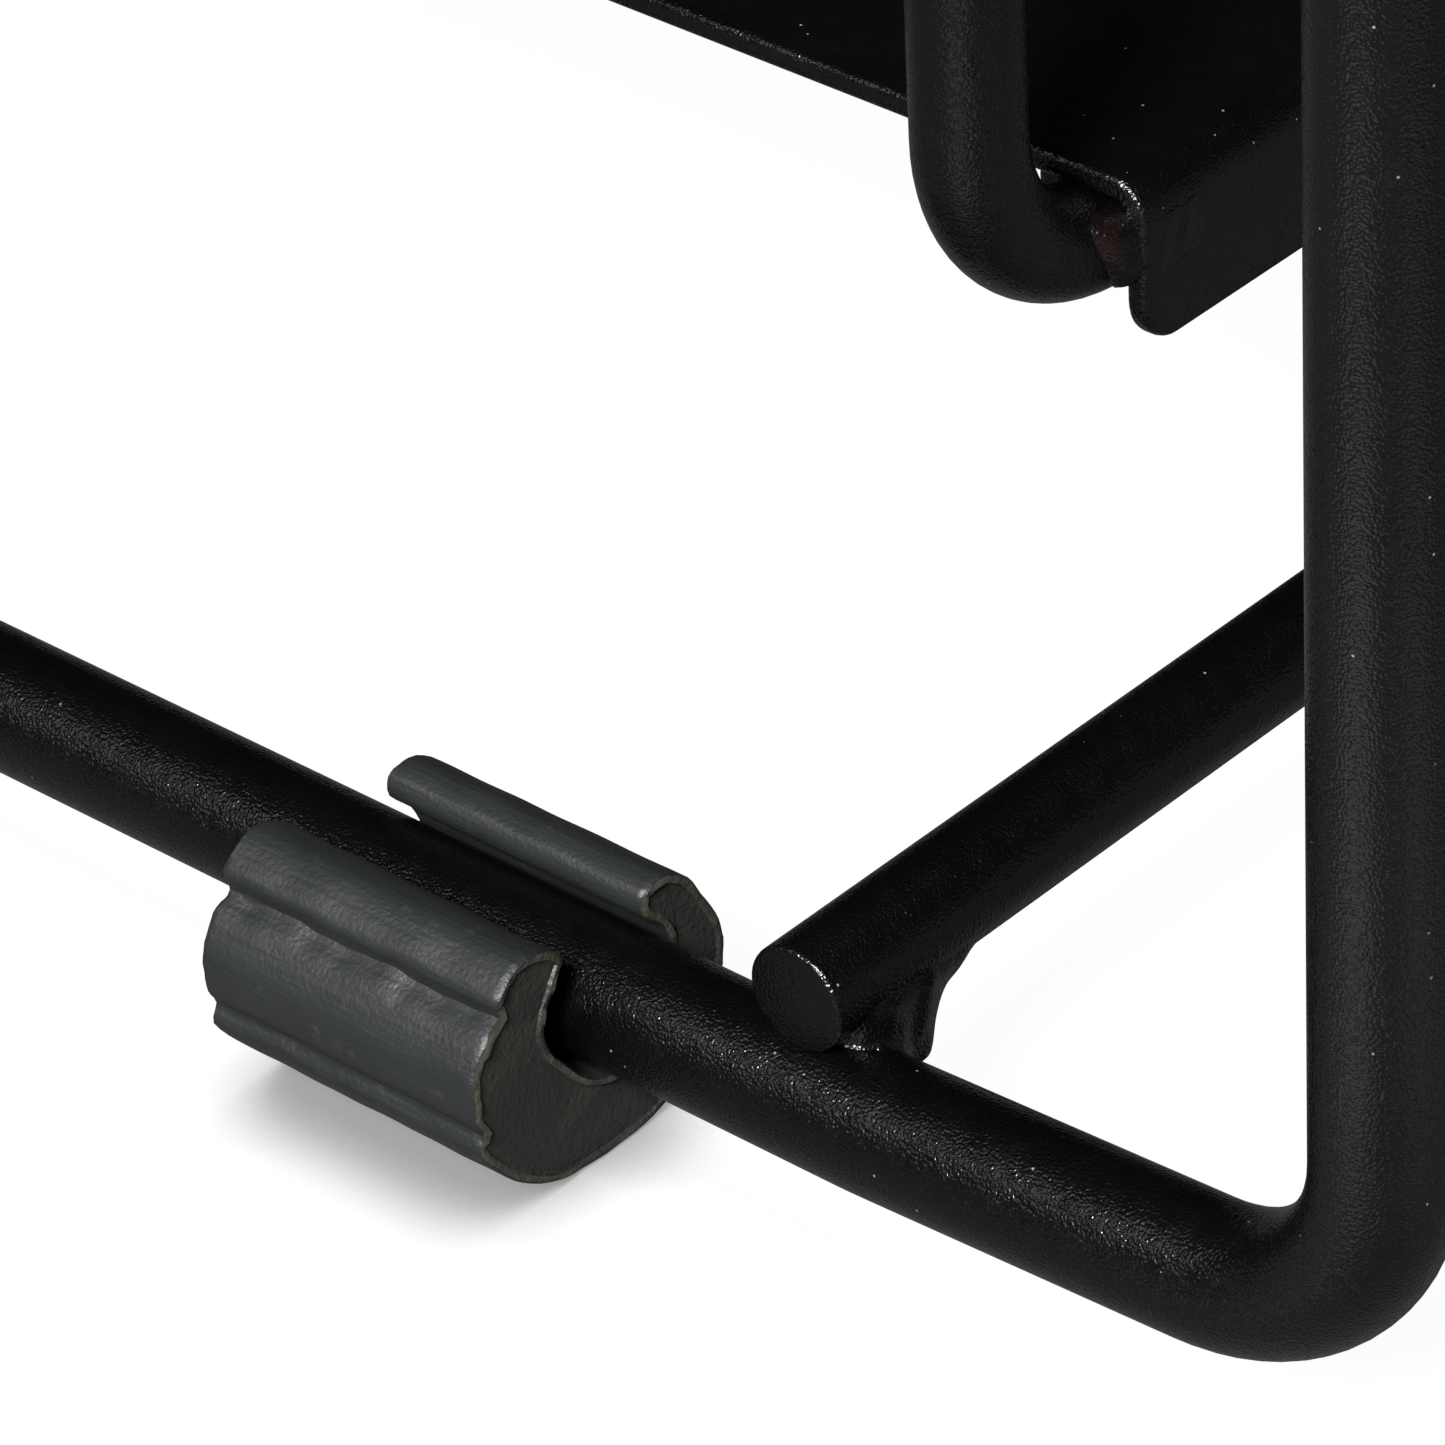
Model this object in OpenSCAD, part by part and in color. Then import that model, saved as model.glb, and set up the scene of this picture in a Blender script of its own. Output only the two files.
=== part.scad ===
// Folding luggage rack: a low welded base of bent steel rod with a hung sheet-steel shelf,
// and a strapped deck on two knee-jointed end panels that fold inward and let the deck
// down onto the base. X runs along the long side, Y across, Z up from the floor.

/* [Overall] */
// Distance between the two posts of a side frame, centre to centre
post_span = 560; // [500:10:640]
// Distance between the two side frames, centre to centre
frame_gap = 380; // [340:10:420]
// Height of the floor rods' centreline above the floor
rod_h = 12; // [11:0.5:13]
// Height of the lower hinge pins above the floor
hinge_h = 156; // [154:1:180]
// Distance between the two hinge pins of one strut
strut_len = 154; // [140:1:160]

/* [Rods] */
// Diameter of the bent frame rods, the struts and the deck hoop
frame_d = 10; // [10:0.5:11]
// Diameter of the cross rods and the shelf hangers
brace_d = 8; // [7:0.5:8]
// Centreline radius of the bends between floor rod, posts and hoop sides
corner_r = 15.5; // [14:0.5:18]
// Rise of the last stretch of floor rod, pulled up by the weld, in degrees
weld_pull = 2.5; // [0.5:0.5:3]
// Distance of the floor cross rods from the posts
cross_in = 48; // [46:1:56]
// Height of the top rails' centreline above the floor
rail_h = 142; // [138:1:143]

/* [Shelf] */
// Thickness of the steel sheet with its coating
sheet_t = 1.9; // [1.5:0.1:2.2]
// Height of the sheet's underside above the floor
shelf_h = 63.5; // [60:0.5:90]
// Depth of the turned-down flanges at the two ends
flange_depth = 12.8; // [10:0.1:16]
// Distance of the hangers from the posts
hanger_in = 54; // [52:1:60]
// Distance of the hanger legs from the side frames
leg_in = 25.6; // [24:0.2:32]
// Distance of the shelf's raw long edges from the side frames
edge_in = 36.4; // [34:0.1:44]
// Centreline radius of the hanger bends
hanger_r = 13; // [12:0.5:14]

/* [Feet] */
// Length of a clip-on foot along the floor rod
foot_len = 25.7; // [20:0.1:40]
// Distance of a foot's near end from the post
foot_in = 65.9; // [64:0.1:90]
// Outer radius of the foot's wall
foot_r = 13; // [12.5:0.1:13.2]

/* [Folding panels] */
// Lean of each lower strut past upright when the rack stands open, in degrees
over_centre = 4; // [3:0.5:5]
// Diameter of the hinge pins
pin_d = 5; // [4:0.5:6]
// Outer diameter of the hinge eyes
eye_d = 16; // [14:0.5:16]
// Distance of the panels' cross rods from the hinge pins
panel_rod_in = 30; // [24:1:34]

/* [Deck] */
// Distance of the hoop's end rods beyond the posts
deck_over = 22; // [20:1:30]
// Number of webbing straps
strap_count = 5; // [5]
// Width of a strap
strap_w = 50; // [40:1:60]
// Thickness of the webbing
strap_t = 1.6; // [1.2:0.1:2]
// Length of the sewn tail under each strap end
tail_len = 44; // [30:1:60]

/* [Hidden] */
$fn = 64;

post_x = post_span / 2;          // the posts' centrelines
side_y = frame_gap / 2;          // the side frames' planes, also the upper struts'
eye_w = frame_d;                 // width of an eye along its pin
washer_t = 1;                    // thickness of the washers between two eyes
play = 0.4;                      // free play between parts that turn on each other
lap_y = side_y - eye_w - washer_t - play; // the lower struts' and deck lugs' plane
fit = 0.1;                       // how much wider a turning eye's bore is than its pin
cross_h = rod_h + (frame_d + brace_d) / 2;  // floor cross rods lie on the floor rods
top_rod_h = rail_h + (frame_d + brace_d) / 2; // top cross rods lie on the rails
rod_proud = 2;                   // how far a cross rod's sheared end passes the side frame
hanger_h = shelf_h - brace_d / 2; // centreline of a hanger under the sheet
hanger_x = post_x - hanger_in;
leg_y = side_y - leg_in;
flange_x = hanger_x + brace_d / 2 + sheet_t; // outer face of a flange
bend_r = 3;                      // outer radius of the sheet's bends
knee_x = post_x + strut_len * sin(over_centre);
knee_h = hinge_h + strut_len * cos(over_centre);
deck_hinge_h = hinge_h + 2 * strut_len * cos(over_centre);
hoop_h = deck_hinge_h + eye_d / 2 + frame_d / 2; // the hoop lies on the lugs' eyes
hoop_x = post_x + deck_over;
strap_pitch = (post_span - 120) / (strap_count - 1);
coat_black = [0.05, 0.05, 0.055];
foot_grey = [0.26, 0.27, 0.26];
zinc = [0.55, 0.56, 0.58];
nylon = [0.12, 0.12, 0.13];

// Straight rod between two points
module rod(a, b, d) {
    v = b - a;
    translate(a) rotate([0, acos(v.z / norm(v)), atan2(v.y, v.x)]) cylinder(h = norm(v), d = d);
}

// Cylinder along Y, centred on a point
module cross(x, y, z, len, d) {
    translate([x, y + len / 2, z]) rotate([90, 0, 0]) cylinder(h = len, d = d);
}

// Bent stretch of rod that ends on the +X side, 'turn' degrees round from where it starts
module bend(r, d, turn) {
    rotate([0, 0, -turn]) rotate_extrude(angle = turn) translate([r, 0]) circle(d = d);
}

// Half of a side frame: floor rod, the weld's slight pull, the bend and the post with its eye.
// The straight stretches are a hair thinner and run a little way into the bent ones.
module sled_half(y) {
    straight_d = frame_d - 0.02;
    tuck = 0.4;
    pull_x = post_x - cross_in + brace_d / 2; // where the weld's pull starts
    pull_r = 60;                              // radius of that slight bend
    pull_end_x = pull_x + pull_r * sin(weld_pull);
    pull_end_z = rod_h + pull_r * (1 - cos(weld_pull));
    start_x = post_x - corner_r + corner_r * sin(weld_pull);
    start_z = pull_end_z + (start_x - pull_end_x) * tan(weld_pull);
    bend_z = start_z + corner_r * cos(weld_pull);
    slope = [cos(weld_pull), 0, sin(weld_pull)];
    rod([-tuck, y, rod_h], [pull_x + tuck, y, rod_h], straight_d);
    translate([pull_x, y, rod_h + pull_r]) rotate([90, 90 - weld_pull, 0]) bend(pull_r, frame_d, weld_pull);
    rod([pull_end_x, y, pull_end_z] - tuck * slope, [start_x, y, start_z] + tuck * slope, straight_d);
    translate([post_x - corner_r, y, bend_z]) rotate([90, 0, 0]) bend(corner_r, frame_d, 90 - weld_pull);
    rod([post_x, y, bend_z - tuck], [post_x, y, hinge_h], straight_d);
    cross(post_x, y, hinge_h, eye_w, eye_d);
}

// Side frame: one bent rod that lies on the floor and stands up as two posts with hinge eyes
module sled(y) {
    color(coat_black) difference() {
        union() {
            sled_half(y);
            mirror([1, 0, 0]) sled_half(y);
        }
        for (s = [-1, 1]) cross(s * post_x, y, hinge_h, eye_w + 2, pin_d);
    }
}

// Straight rail between the posts of a side frame, its ends coped to them
module rail(y) {
    color(coat_black) difference() {
        rod([-post_x, y, rail_h], [post_x, y, rail_h], frame_d);
        for (s = [-1, 1]) rod([s * post_x, y, rail_h - frame_d], [s * post_x, y, rail_h + frame_d], frame_d);
    }
}

// Cross rod with sheared ends, lying on the floor rods or on the rails
module cross_rod(x, z) {
    color(coat_black) cross(x, 0, z, 2 * (side_y + rod_proud), brace_d);
}

// U-shaped hanger: two legs down from a top cross rod and a run under the shelf
module hanger(x) {
    run_y = leg_y - hanger_r;
    color(coat_black) difference() {
        union() {
            rod([x, -run_y, hanger_h], [x, run_y, hanger_h], brace_d);
            for (s = [-1, 1]) {
                mirror([0, s < 0 ? 1 : 0, 0]) translate([x, run_y, hanger_h + hanger_r])
                    rotate([90, 0, 90]) bend(hanger_r, brace_d, 90);
                rod([x, s * leg_y, hanger_h + hanger_r], [x, s * leg_y, top_rod_h], brace_d);
            }
        }
        cross(x, 0, top_rod_h, 2 * side_y, brace_d);
    }
}

// Half of the shelf's section: flat sheet, bend and turned-down flange
module shelf_half() {
    top = shelf_h + sheet_t;
    translate([0, shelf_h]) square([flange_x - bend_r, sheet_t]);
    translate([flange_x - sheet_t, top - flange_depth]) square([sheet_t, flange_depth - bend_r]);
    translate([flange_x - bend_r, top - bend_r]) intersection() {
        difference() { circle(bend_r); circle(bend_r - sheet_t); }
        square(bend_r);
    }
}

// Sheet-steel shelf with a flange at each end and raw long edges
module shelf() {
    half_y = side_y - edge_in;
    corner = 3.5; // rounding of the flanges' lower corners
    color(coat_black) difference() {
        translate([0, half_y, 0]) rotate([90, 0, 0]) linear_extrude(2 * half_y) {
            shelf_half();
            mirror([1, 0]) shelf_half();
        }
        for (s = [-1, 1], t = [-1, 1]) translate([s * flange_x, t * half_y, shelf_h + sheet_t - flange_depth])
            difference() {
                cube([4 * sheet_t, 2 * corner, 2 * corner], center = true);
                translate([0, -t * corner, corner]) rotate([0, 90, 0])
                    cylinder(h = 6 * sheet_t, r = corner, center = true);
            }
    }
}

// Weld webs that fill the corner between each floor cross rod and the floor rod
module floor_rod_welds() {
    web_w = 5;      // width along the floor rod
    web_y = 10.5;   // how far it reaches in from the floor rod's centreline
    web_low = 2;    // how far it reaches below that centreline
    web_x = post_x - cross_in + 1.5;
    color(coat_black) for (s = [-1, 1], t = [-1, 1]) difference() {
        translate([s * web_x - web_w / 2, t > 0 ? side_y - web_y : -side_y, rod_h - web_low])
            cube([web_w, web_y, cross_h - rod_h + web_low]);
        cross(s * (post_x - cross_in), 0, cross_h, 2 * side_y + 4, brace_d);
        rod([-post_x, t * side_y, rod_h], [post_x, t * side_y, rod_h], frame_d);
    }
}

// Clip-on foot: horseshoe section, flat under the rod and open above it
module foot(s, t) {
    color(foot_grey) translate([s * (post_x - foot_in - foot_len / 2), t * side_y, rod_h])
        mirror([0, t > 0 ? 1 : 0, 0]) rotate([90, 0, 90]) linear_extrude(foot_len, center = true)
        difference() {
            intersection() {
                translate([-2, -0.5]) circle(foot_r);
                translate([-20, -rod_h]) square([40, rod_h + 7.8]);
            }
            translate([-0.7, 0.7]) circle(frame_d / 2 + 1);
            translate([-4.6, 3]) square([7.2, 8]);
        }
}

// Flat bar strut of round rod with a bored eye at each end, in the plane at y
module strut(a, b, y, bore_a, bore_b) {
    color(coat_black) difference() {
        union() {
            rod([a.x, y, a.y], [b.x, y, b.y], frame_d);
            cross(a.x, y, a.y, eye_w, eye_d);
            cross(b.x, y, b.y, eye_w, eye_d);
        }
        cross(a.x, y, a.y, eye_w + 2, bore_a);
        cross(b.x, y, b.y, eye_w + 2, bore_b);
    }
}

// Knee stop: an arm on the lower strut's eye with a pin that the upper strut leans on
module knee_stop(s, t) {
    pin_r = 2.5;
    along = 13;
    aside = frame_d / 2 + pin_r + play;
    stop_x = knee_x - along * sin(over_centre) - aside * cos(over_centre);
    stop_h = knee_h + along * cos(over_centre) - aside * sin(over_centre);
    y_out = side_y + eye_w / 2;
    y_in = lap_y - eye_w / 2;
    color(coat_black) difference() {
        union() {
            cross(s * stop_x, t * (y_out + y_in) / 2, stop_h, y_out - y_in, 2 * pin_r);
            rod([s * knee_x, t * lap_y, knee_h], [s * stop_x, t * lap_y, stop_h], 2 * pin_r);
        }
        cross(s * knee_x, t * lap_y, knee_h, eye_w + 2, eye_d);
    }
}

// Lower strut, turning on the base pin and carrying the knee pin and the knee stop
module lower_strut(s, t) {
    color(coat_black) union() {
        strut([s * post_x, hinge_h], [s * knee_x, knee_h], t * lap_y, pin_d + fit, pin_d);
        knee_stop(s, t);
    }
}

// Upper strut, turning on the knee pin and on the deck pin
module upper_strut(s, t) {
    strut([s * knee_x, knee_h], [s * post_x, deck_hinge_h], t * side_y, pin_d + fit, pin_d + fit);
}

// Cross rod of a folding panel, 'along' from its lower end, coped between its two struts
module panel_rod(s, y, along, low) {
    x0 = low ? post_x : knee_x;
    z0 = low ? hinge_h : knee_h;
    dir = low ? 1 : -1;
    x = s * (x0 + dir * along * sin(over_centre));
    z = z0 + along * cos(over_centre);
    lean = s * dir * sin(over_centre) * frame_d;
    color(coat_black) difference() {
        cross(x, 0, z, 2 * y, brace_d);
        for (t = [-1, 1])
            rod([x - lean, t * y, z - frame_d * cos(over_centre)],
                [x + lean, t * y, z + frame_d * cos(over_centre)], frame_d);
    }
}

// Domed rivet head on its flat side, pointing along +Z
module rivet_head() {
    head_r = 4.8;
    head_t = 2.4;
    ball_r = (head_r * head_r + head_t * head_t) / (2 * head_t);
    intersection() {
        translate([0, 0, head_t - ball_r]) sphere(ball_r);
        cylinder(h = head_t + 1, r = head_r + 1);
    }
}

// Riveted hinge pin through the two planes of eyes; the fixed side has no play under its head
module pin(x, z, t, fixed_outside) {
    y_out = side_y + eye_w / 2 + (fixed_outside ? 0 : play);
    y_in = lap_y - eye_w / 2 - (fixed_outside ? play : 0);
    color(zinc) {
        cross(x, t * (y_out + y_in) / 2, z, y_out - y_in, pin_d);
        translate([x, t * y_out, z]) rotate([-90 * t, 0, 0]) rivet_head();
        translate([x, t * y_in, z]) rotate([90 * t, 0, 0]) rivet_head();
    }
}

// Nylon washer that sits against the eye its pin is fixed in
module washer(x, z, t, fixed_outside) {
    y_mid = fixed_outside ? side_y - (eye_w + washer_t) / 2 : lap_y + (eye_w + washer_t) / 2;
    color(nylon) difference() {
        cross(x, t * y_mid, z, washer_t, 12);
        cross(x, t * y_mid, z, washer_t + 1, pin_d);
    }
}

// Rod hoop of the deck
module deck_hoop() {
    color(coat_black) for (s = [-1, 1]) {
        rod([-hoop_x + corner_r, s * lap_y, hoop_h], [hoop_x - corner_r, s * lap_y, hoop_h], frame_d);
        rod([s * hoop_x, -lap_y + corner_r, hoop_h], [s * hoop_x, lap_y - corner_r, hoop_h], frame_d);
        for (t = [-1, 1]) translate([s * (hoop_x - corner_r), t * (lap_y - corner_r), hoop_h])
            mirror([s < 0 ? 1 : 0, 0, 0]) mirror([0, t > 0 ? 1 : 0, 0]) bend(corner_r, frame_d, 90);
    }
}

// Hinge lugs welded under the hoop: an eye with a coped neck
module deck_lugs() {
    color(coat_black) for (s = [-1, 1], t = [-1, 1]) difference() {
        union() {
            cross(s * post_x, t * lap_y, deck_hinge_h, eye_w, eye_d);
            translate([s * post_x, t * lap_y, (deck_hinge_h + hoop_h) / 2])
                cube([8, eye_w, hoop_h - deck_hinge_h], center = true);
        }
        rod([s * post_x - 20, t * lap_y, hoop_h], [s * post_x + 20, t * lap_y, hoop_h], frame_d);
        cross(s * post_x, t * lap_y, deck_hinge_h, eye_w + 2, pin_d);
    }
}

// Webbing strap across the deck, looped round both long rods and sewn back under itself
module strap(i) {
    loop_r = frame_d / 2 + strap_t;
    x = (i - (strap_count + 1) / 2) * strap_pitch;
    color(nylon) translate([x, 0, hoop_h]) rotate([90, 0, 90]) linear_extrude(strap_w, center = true) {
        translate([-lap_y, frame_d / 2]) square([2 * lap_y, strap_t]);
        for (s = [-1, 1]) {
            translate([s * lap_y, 0]) difference() { circle(loop_r); circle(d = frame_d); }
            difference() {
                translate([s * (lap_y - tail_len / 2) - tail_len / 2, frame_d / 2 - strap_t])
                    square([tail_len, strap_t]);
                translate([s * lap_y, 0]) circle(d = frame_d);
            }
        }
    }
}

sled(-side_y);  // sled_front
sled(side_y);  // sled_back
rail(-side_y);  // rail_front
rail(side_y);  // rail_back
cross_rod(post_x - cross_in, cross_h);  // floor_rod_right
cross_rod(cross_in - post_x, cross_h);  // floor_rod_left
cross_rod(hanger_x, top_rod_h);  // top_rod_right
cross_rod(-hanger_x, top_rod_h);  // top_rod_left
hanger(hanger_x);  // hanger_right
hanger(-hanger_x);  // hanger_left
shelf();
floor_rod_welds();
foot(1, -1);  // foot_front_right
foot(-1, -1);  // foot_front_left
foot(1, 1);  // foot_back_right
foot(-1, 1);  // foot_back_left
for (s = [-1, 1], t = [-1, 1]) pin(s * post_x, hinge_h, t, true);  // base_pins
for (s = [-1, 1], t = [-1, 1]) washer(s * post_x, hinge_h, t, true);  // base_washers
lower_strut(1, -1);  // right_lower_strut_front
lower_strut(1, 1);  // right_lower_strut_back
panel_rod(1, lap_y, panel_rod_in, true);  // right_lower_rod_bottom
panel_rod(1, lap_y, strut_len - panel_rod_in, true);  // right_lower_rod_top
for (t = [-1, 1]) pin(knee_x, knee_h, t, false);  // right_knee_pins
for (t = [-1, 1]) washer(knee_x, knee_h, t, false);  // right_knee_washers
upper_strut(1, -1);  // right_upper_strut_front
upper_strut(1, 1);  // right_upper_strut_back
panel_rod(1, side_y, strut_len - panel_rod_in, false);  // right_upper_rod
lower_strut(-1, -1);  // left_lower_strut_front
lower_strut(-1, 1);  // left_lower_strut_back
panel_rod(-1, lap_y, panel_rod_in, true);  // left_lower_rod_bottom
panel_rod(-1, lap_y, strut_len - panel_rod_in, true);  // left_lower_rod_top
for (t = [-1, 1]) pin(-knee_x, knee_h, t, false);  // left_knee_pins
for (t = [-1, 1]) washer(-knee_x, knee_h, t, false);  // left_knee_washers
upper_strut(-1, -1);  // left_upper_strut_front
upper_strut(-1, 1);  // left_upper_strut_back
panel_rod(-1, side_y, strut_len - panel_rod_in, false);  // left_upper_rod
deck_hoop();
deck_lugs();
for (s = [-1, 1], t = [-1, 1]) pin(s * post_x, deck_hinge_h, t, false);  // deck_pins
for (s = [-1, 1], t = [-1, 1]) washer(s * post_x, deck_hinge_h, t, false);  // deck_washers
strap(1);  // strap_1
strap(2);  // strap_2
strap(3);  // strap_3
strap(4);  // strap_4
strap(5);  // strap_5
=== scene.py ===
# Folding luggage rack: the looks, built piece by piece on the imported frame, in metres.
import math
import random

import bpy
from mathutils import Matrix, Vector


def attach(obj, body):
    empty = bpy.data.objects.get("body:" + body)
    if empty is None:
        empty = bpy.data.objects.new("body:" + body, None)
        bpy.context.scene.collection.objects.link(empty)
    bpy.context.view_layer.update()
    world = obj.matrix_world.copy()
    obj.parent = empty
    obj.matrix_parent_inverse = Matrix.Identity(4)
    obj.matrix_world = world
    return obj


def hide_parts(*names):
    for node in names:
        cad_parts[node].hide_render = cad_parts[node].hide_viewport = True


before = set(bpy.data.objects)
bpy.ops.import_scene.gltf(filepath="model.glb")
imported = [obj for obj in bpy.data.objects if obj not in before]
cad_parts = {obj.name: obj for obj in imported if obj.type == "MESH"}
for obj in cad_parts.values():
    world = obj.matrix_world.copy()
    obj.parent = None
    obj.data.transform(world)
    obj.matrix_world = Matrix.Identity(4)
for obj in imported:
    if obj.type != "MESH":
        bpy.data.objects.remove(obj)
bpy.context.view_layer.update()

# ---------------------------------------------------------------------------------------
# Side frames: each is one 10 mm steel rod, bent cold into a floor run and two posts, with
# a forged eye on top of each post. Powder coated black after welding.
# ---------------------------------------------------------------------------------------
MM = 0.001
POST_X = 0.280        # the posts' centrelines
SIDE_Y = 0.190        # the side frames' planes
ROD_H = 0.012         # floor rods' centreline above the floor
HINGE_H = 0.156       # lower hinge pins above the floor
FRAME_D = 0.010       # rods that are bent
BRACE_D = 0.008       # rods across
CORNER_R = 0.0155     # centreline radius of the bends
CROSS_IN = 0.048      # floor cross rods from the posts
PULL = 2.5            # degrees that the weld pulled the end of the floor run up
PULL_R = 0.060        # radius of that slight bend
EYE_D = 0.016         # hinge eyes
PIN_D = 0.005         # hinge pins


def linear(code):
    """A colour given as sRGB hex, turned to the linear values that a shader takes."""
    channels = [int(code[i:i + 2], 16) / 255 for i in (1, 3, 5)]
    return [c / 12.92 if c <= 0.04045 else ((c + 0.055) / 1.055) ** 2.4 for c in channels] + [1.0]


def add_node(material, kind, inputs=None, **settings):
    """Adds a node, sets its options, and gives each input a value or a link."""
    tree = material.node_tree
    node = tree.nodes.new("ShaderNode" + kind)
    for option, value in settings.items():
        setattr(node, option, value)
    for name, value in (inputs or {}).items():
        if isinstance(value, bpy.types.NodeSocket):
            tree.links.new(value, node.inputs[name])
        else:
            node.inputs[name].default_value = value
    return node


def start_material(name):
    """A new material with an empty node tree and its Object coordinates."""
    material = bpy.data.materials.new(name)
    material.use_nodes = True
    material.node_tree.nodes.clear()
    place = add_node(material, "TexCoord")
    return material, place.outputs["Object"]


FACTOR, COLOUR_A, COLOUR_B, MIXED = 0, 6, 7, 2   # the sockets of a colour Mix node


def powder_coat(name, heat_at=None):
    """Black polyester powder coat, sprayed and baked on steel: semi-matt, with the fine
    orange peel that the melting grains leave (0.2 mm) over longer waves of about 1.5 mm,
    and a few specks of dust. heat_at is a weld that browned the coat round it."""
    coat, place = start_material(name)
    peel = add_node(coat, "TexNoise", {"Vector": place, "Scale": 4600.0, "Detail": 0.5, "Roughness": 0.5})
    wave = add_node(coat, "TexNoise", {"Vector": place, "Scale": 620.0, "Detail": 2.0})
    patch = add_node(coat, "TexNoise", {"Vector": place, "Scale": 70.0, "Detail": 3.0})
    specks = add_node(coat, "TexVoronoi", {"Vector": place, "Scale": 850.0, "Randomness": 1.0})
    near = add_node(coat, "MapRange", {"Value": specks.outputs["Distance"], "From Min": 0.04,
                                       "From Max": 0.10, "To Min": 1.0, "To Max": 0.0})
    pick = add_node(coat, "SeparateColor", {"Color": specks.outputs["Color"]})
    rare = add_node(coat, "Math", {0: pick.outputs["Red"], 1: 0.93}, operation="GREATER_THAN")
    dust = add_node(coat, "Math", {0: near.outputs["Result"], 1: rare.outputs[0]}, operation="MULTIPLY")
    shade = add_node(coat, "Mix", {FACTOR: patch.outputs["Fac"], COLOUR_A: linear("#010101"),
                                   COLOUR_B: linear("#040405")}, data_type="RGBA")
    colour = shade.outputs[MIXED]
    if heat_at:
        # the same mark at both ends and both sides, so distances are taken without signs
        plain = add_node(coat, "VectorMath", {0: place}, operation="ABSOLUTE")
        away = add_node(coat, "VectorMath", {0: plain.outputs[0], 1: heat_at}, operation="DISTANCE")
        ragged = add_node(coat, "TexNoise", {"Vector": place, "Scale": 500.0, "Detail": 3.0})
        edge = add_node(coat, "Math", {0: ragged.outputs["Fac"], 1: 0.004}, operation="MULTIPLY")
        reach = add_node(coat, "Math", {0: away.outputs["Value"], 1: edge.outputs[0]}, operation="ADD")
        burnt = add_node(coat, "MapRange", {"Value": reach.outputs[0], "From Min": 0.0026,
                                            "From Max": 0.0044, "To Min": 0.35, "To Max": 0.0})
        brown = add_node(coat, "Mix", {FACTOR: burnt.outputs["Result"], COLOUR_A: colour,
                                       COLOUR_B: linear("#1c0a06")}, data_type="RGBA")
        colour = brown.outputs[MIXED]
    dusty = add_node(coat, "Mix", {FACTOR: dust.outputs[0], COLOUR_A: colour,
                                   COLOUR_B: linear("#77746c")}, data_type="RGBA")
    rough = add_node(coat, "MapRange", {"Value": wave.outputs["Fac"], "From Min": 0.3, "From Max": 0.7,
                                        "To Min": 0.21, "To Max": 0.28})
    long_bump = add_node(coat, "Bump", {"Height": wave.outputs["Fac"], "Strength": 0.08,
                                        "Distance": 0.0004})
    bump = add_node(coat, "Bump", {"Height": peel.outputs["Fac"], "Strength": 0.80, "Distance": 0.00012,
                                   "Normal": long_bump.outputs["Normal"]})
    shader = add_node(coat, "BsdfPrincipled", {"Base Color": dusty.outputs[MIXED],
                                               "Roughness": rough.outputs["Result"],
                                               "Specular IOR Level": 0.4,
                                               "Normal": bump.outputs["Normal"]})
    add_node(coat, "OutputMaterial", {"Surface": shader.outputs["BSDF"]})
    return coat


black_coat = powder_coat("black_powder_coat")


def clear_selection():
    """Leaves edit mode and selects nothing."""
    if bpy.context.mode != "OBJECT":
        bpy.ops.object.mode_set(mode="OBJECT")
    bpy.ops.object.select_all(action="DESELECT")


def only(piece):
    """Makes one piece the selected and active one."""
    clear_selection()
    piece.select_set(True)
    bpy.context.view_layer.objects.active = piece


def blank(name, at, facing, diameter, sides=48):
    """Cuts a round blank: a flat disc that faces along the rod, left open in edit mode."""
    clear_selection()
    turn = Vector(facing).to_track_quat("Z", "Y").to_euler()
    bpy.ops.mesh.primitive_circle_add(vertices=sides, radius=diameter / 2, fill_type="NGON",
                                      location=at, rotation=turn)
    piece = bpy.context.object
    piece.name = piece.data.name = name
    bpy.ops.object.transform_apply(location=True, rotation=True, scale=True)
    bpy.ops.object.mode_set(mode="EDIT")
    bpy.ops.mesh.select_mode(type="FACE")
    bpy.ops.mesh.select_all(action="SELECT")
    return piece


def select_faces(piece, wanted):
    """Selects the faces that 'wanted' accepts, in face mode; edit mode stays on."""
    bpy.ops.mesh.select_mode(type="FACE")
    bpy.ops.mesh.select_all(action="DESELECT")
    bpy.ops.object.mode_set(mode="OBJECT")
    for face in piece.data.polygons:
        face.select = bool(wanted(face))
    bpy.ops.object.mode_set(mode="EDIT")


def is_end(face):
    """True for the flat ends, the only faces with more than eight corners."""
    return len(face.vertices) > 8


def finish_piece(piece, material, angle=35.0):
    """Merges doubles, turns normals out, smooths and gives the piece its material."""
    only(piece)
    bpy.ops.object.mode_set(mode="EDIT")
    bpy.ops.mesh.select_all(action="SELECT")
    bpy.ops.mesh.remove_doubles(threshold=0.000005)
    bpy.ops.mesh.normals_make_consistent(inside=False)
    bpy.ops.object.mode_set(mode="OBJECT")
    bpy.ops.object.shade_smooth_by_angle(angle=math.radians(angle))
    piece.data.materials.clear()
    piece.data.materials.append(material)
    clear_selection()
    return piece


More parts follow.
